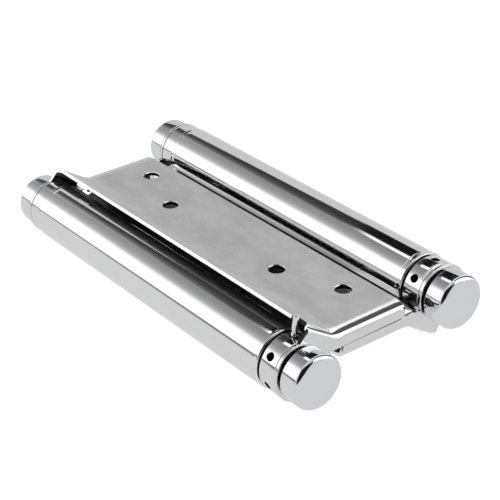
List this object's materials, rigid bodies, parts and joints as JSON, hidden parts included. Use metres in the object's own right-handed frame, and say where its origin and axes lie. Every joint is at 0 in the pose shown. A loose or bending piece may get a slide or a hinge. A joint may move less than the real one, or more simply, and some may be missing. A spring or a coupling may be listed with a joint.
{
  "type": "double action spring hinge",
  "caption": "Double action spring hinge for a swinging cafe door, closed: polished barrels side by side with satin leaves folded over the web between them.",
  "frame": {"origin": "middle of the hinge, halfway between the barrel axes and between the leaves", "axes": "+Y along the barrels to the far end, away from the adjusting collars; +Z out of the front barrel's leaf; +X from the front barrel to the rear barrel"},
  "size_m": [0.0696, 0.142, 0.0238],
  "materials": {
    "polished_tube": "mirror polished",
    "satin_leaf": "satin plate with polished edges and ends",
    "polished_collar": "mirror polished",
    "polished_pin": "polished",
    "polished_cap": "mirror polished",
    "spring_steel": "oiled spring steel",
    "dark_washer": "dark"
  },
  "bodies": {
    "centre": {"centre_piece": "polished_tube", "front_bush": "polished_collar", "rear_bush": "polished_collar", "front_spring": "spring_steel", "rear_spring": "spring_steel", "front_washer": "dark_washer", "rear_washer": "dark_washer"},
    "front_leaf": {"front_leaf": "satin_leaf", "front_spindle": "spring_steel", "front_far_neck": "dark_washer", "front_near_neck": "dark_washer", "front_far_cap": "polished_cap", "front_near_cap": "polished_cap"},
    "front_adjuster": {"front_collar": "polished_collar", "front_pin": "polished_pin"},
    "rear_leaf": {"rear_leaf": "satin_leaf", "rear_spindle": "spring_steel", "rear_far_neck": "dark_washer", "rear_near_neck": "dark_washer", "rear_far_cap": "polished_cap", "rear_near_cap": "polished_cap"},
    "rear_adjuster": {"rear_collar": "polished_collar", "rear_pin": "polished_pin"}
  },
  "joints": [
    {"name": "front_leaf_swing", "type": "hinge", "parent": "centre", "child": "front_leaf", "pos_m": [-0.02576, 0, -0.00221], "axis": [0, -1, 0], "range_deg": [0, 180], "stiffness_Nm_per_rad": 0.8, "springref_deg": -20.05},
    {"name": "front_collar_turn", "type": "hinge", "parent": "front_leaf", "child": "front_adjuster", "pos_m": [-0.02576, 0, -0.00221], "axis": [0, -1, 0], "range_deg": [-5, 60], "stiffness_Nm_per_rad": 0.3},
    {"name": "rear_leaf_swing", "type": "hinge", "parent": "centre", "child": "rear_leaf", "pos_m": [0.02576, 0, 0.00221], "axis": [0, -1, 0], "range_deg": [0, 180], "stiffness_Nm_per_rad": 0.8, "springref_deg": -20.05},
    {"name": "rear_collar_turn", "type": "hinge", "parent": "rear_leaf", "child": "rear_adjuster", "pos_m": [0.02576, 0, 0.00221], "axis": [0, -1, 0], "range_deg": [-5, 60], "stiffness_Nm_per_rad": 0.3}
  ]
}
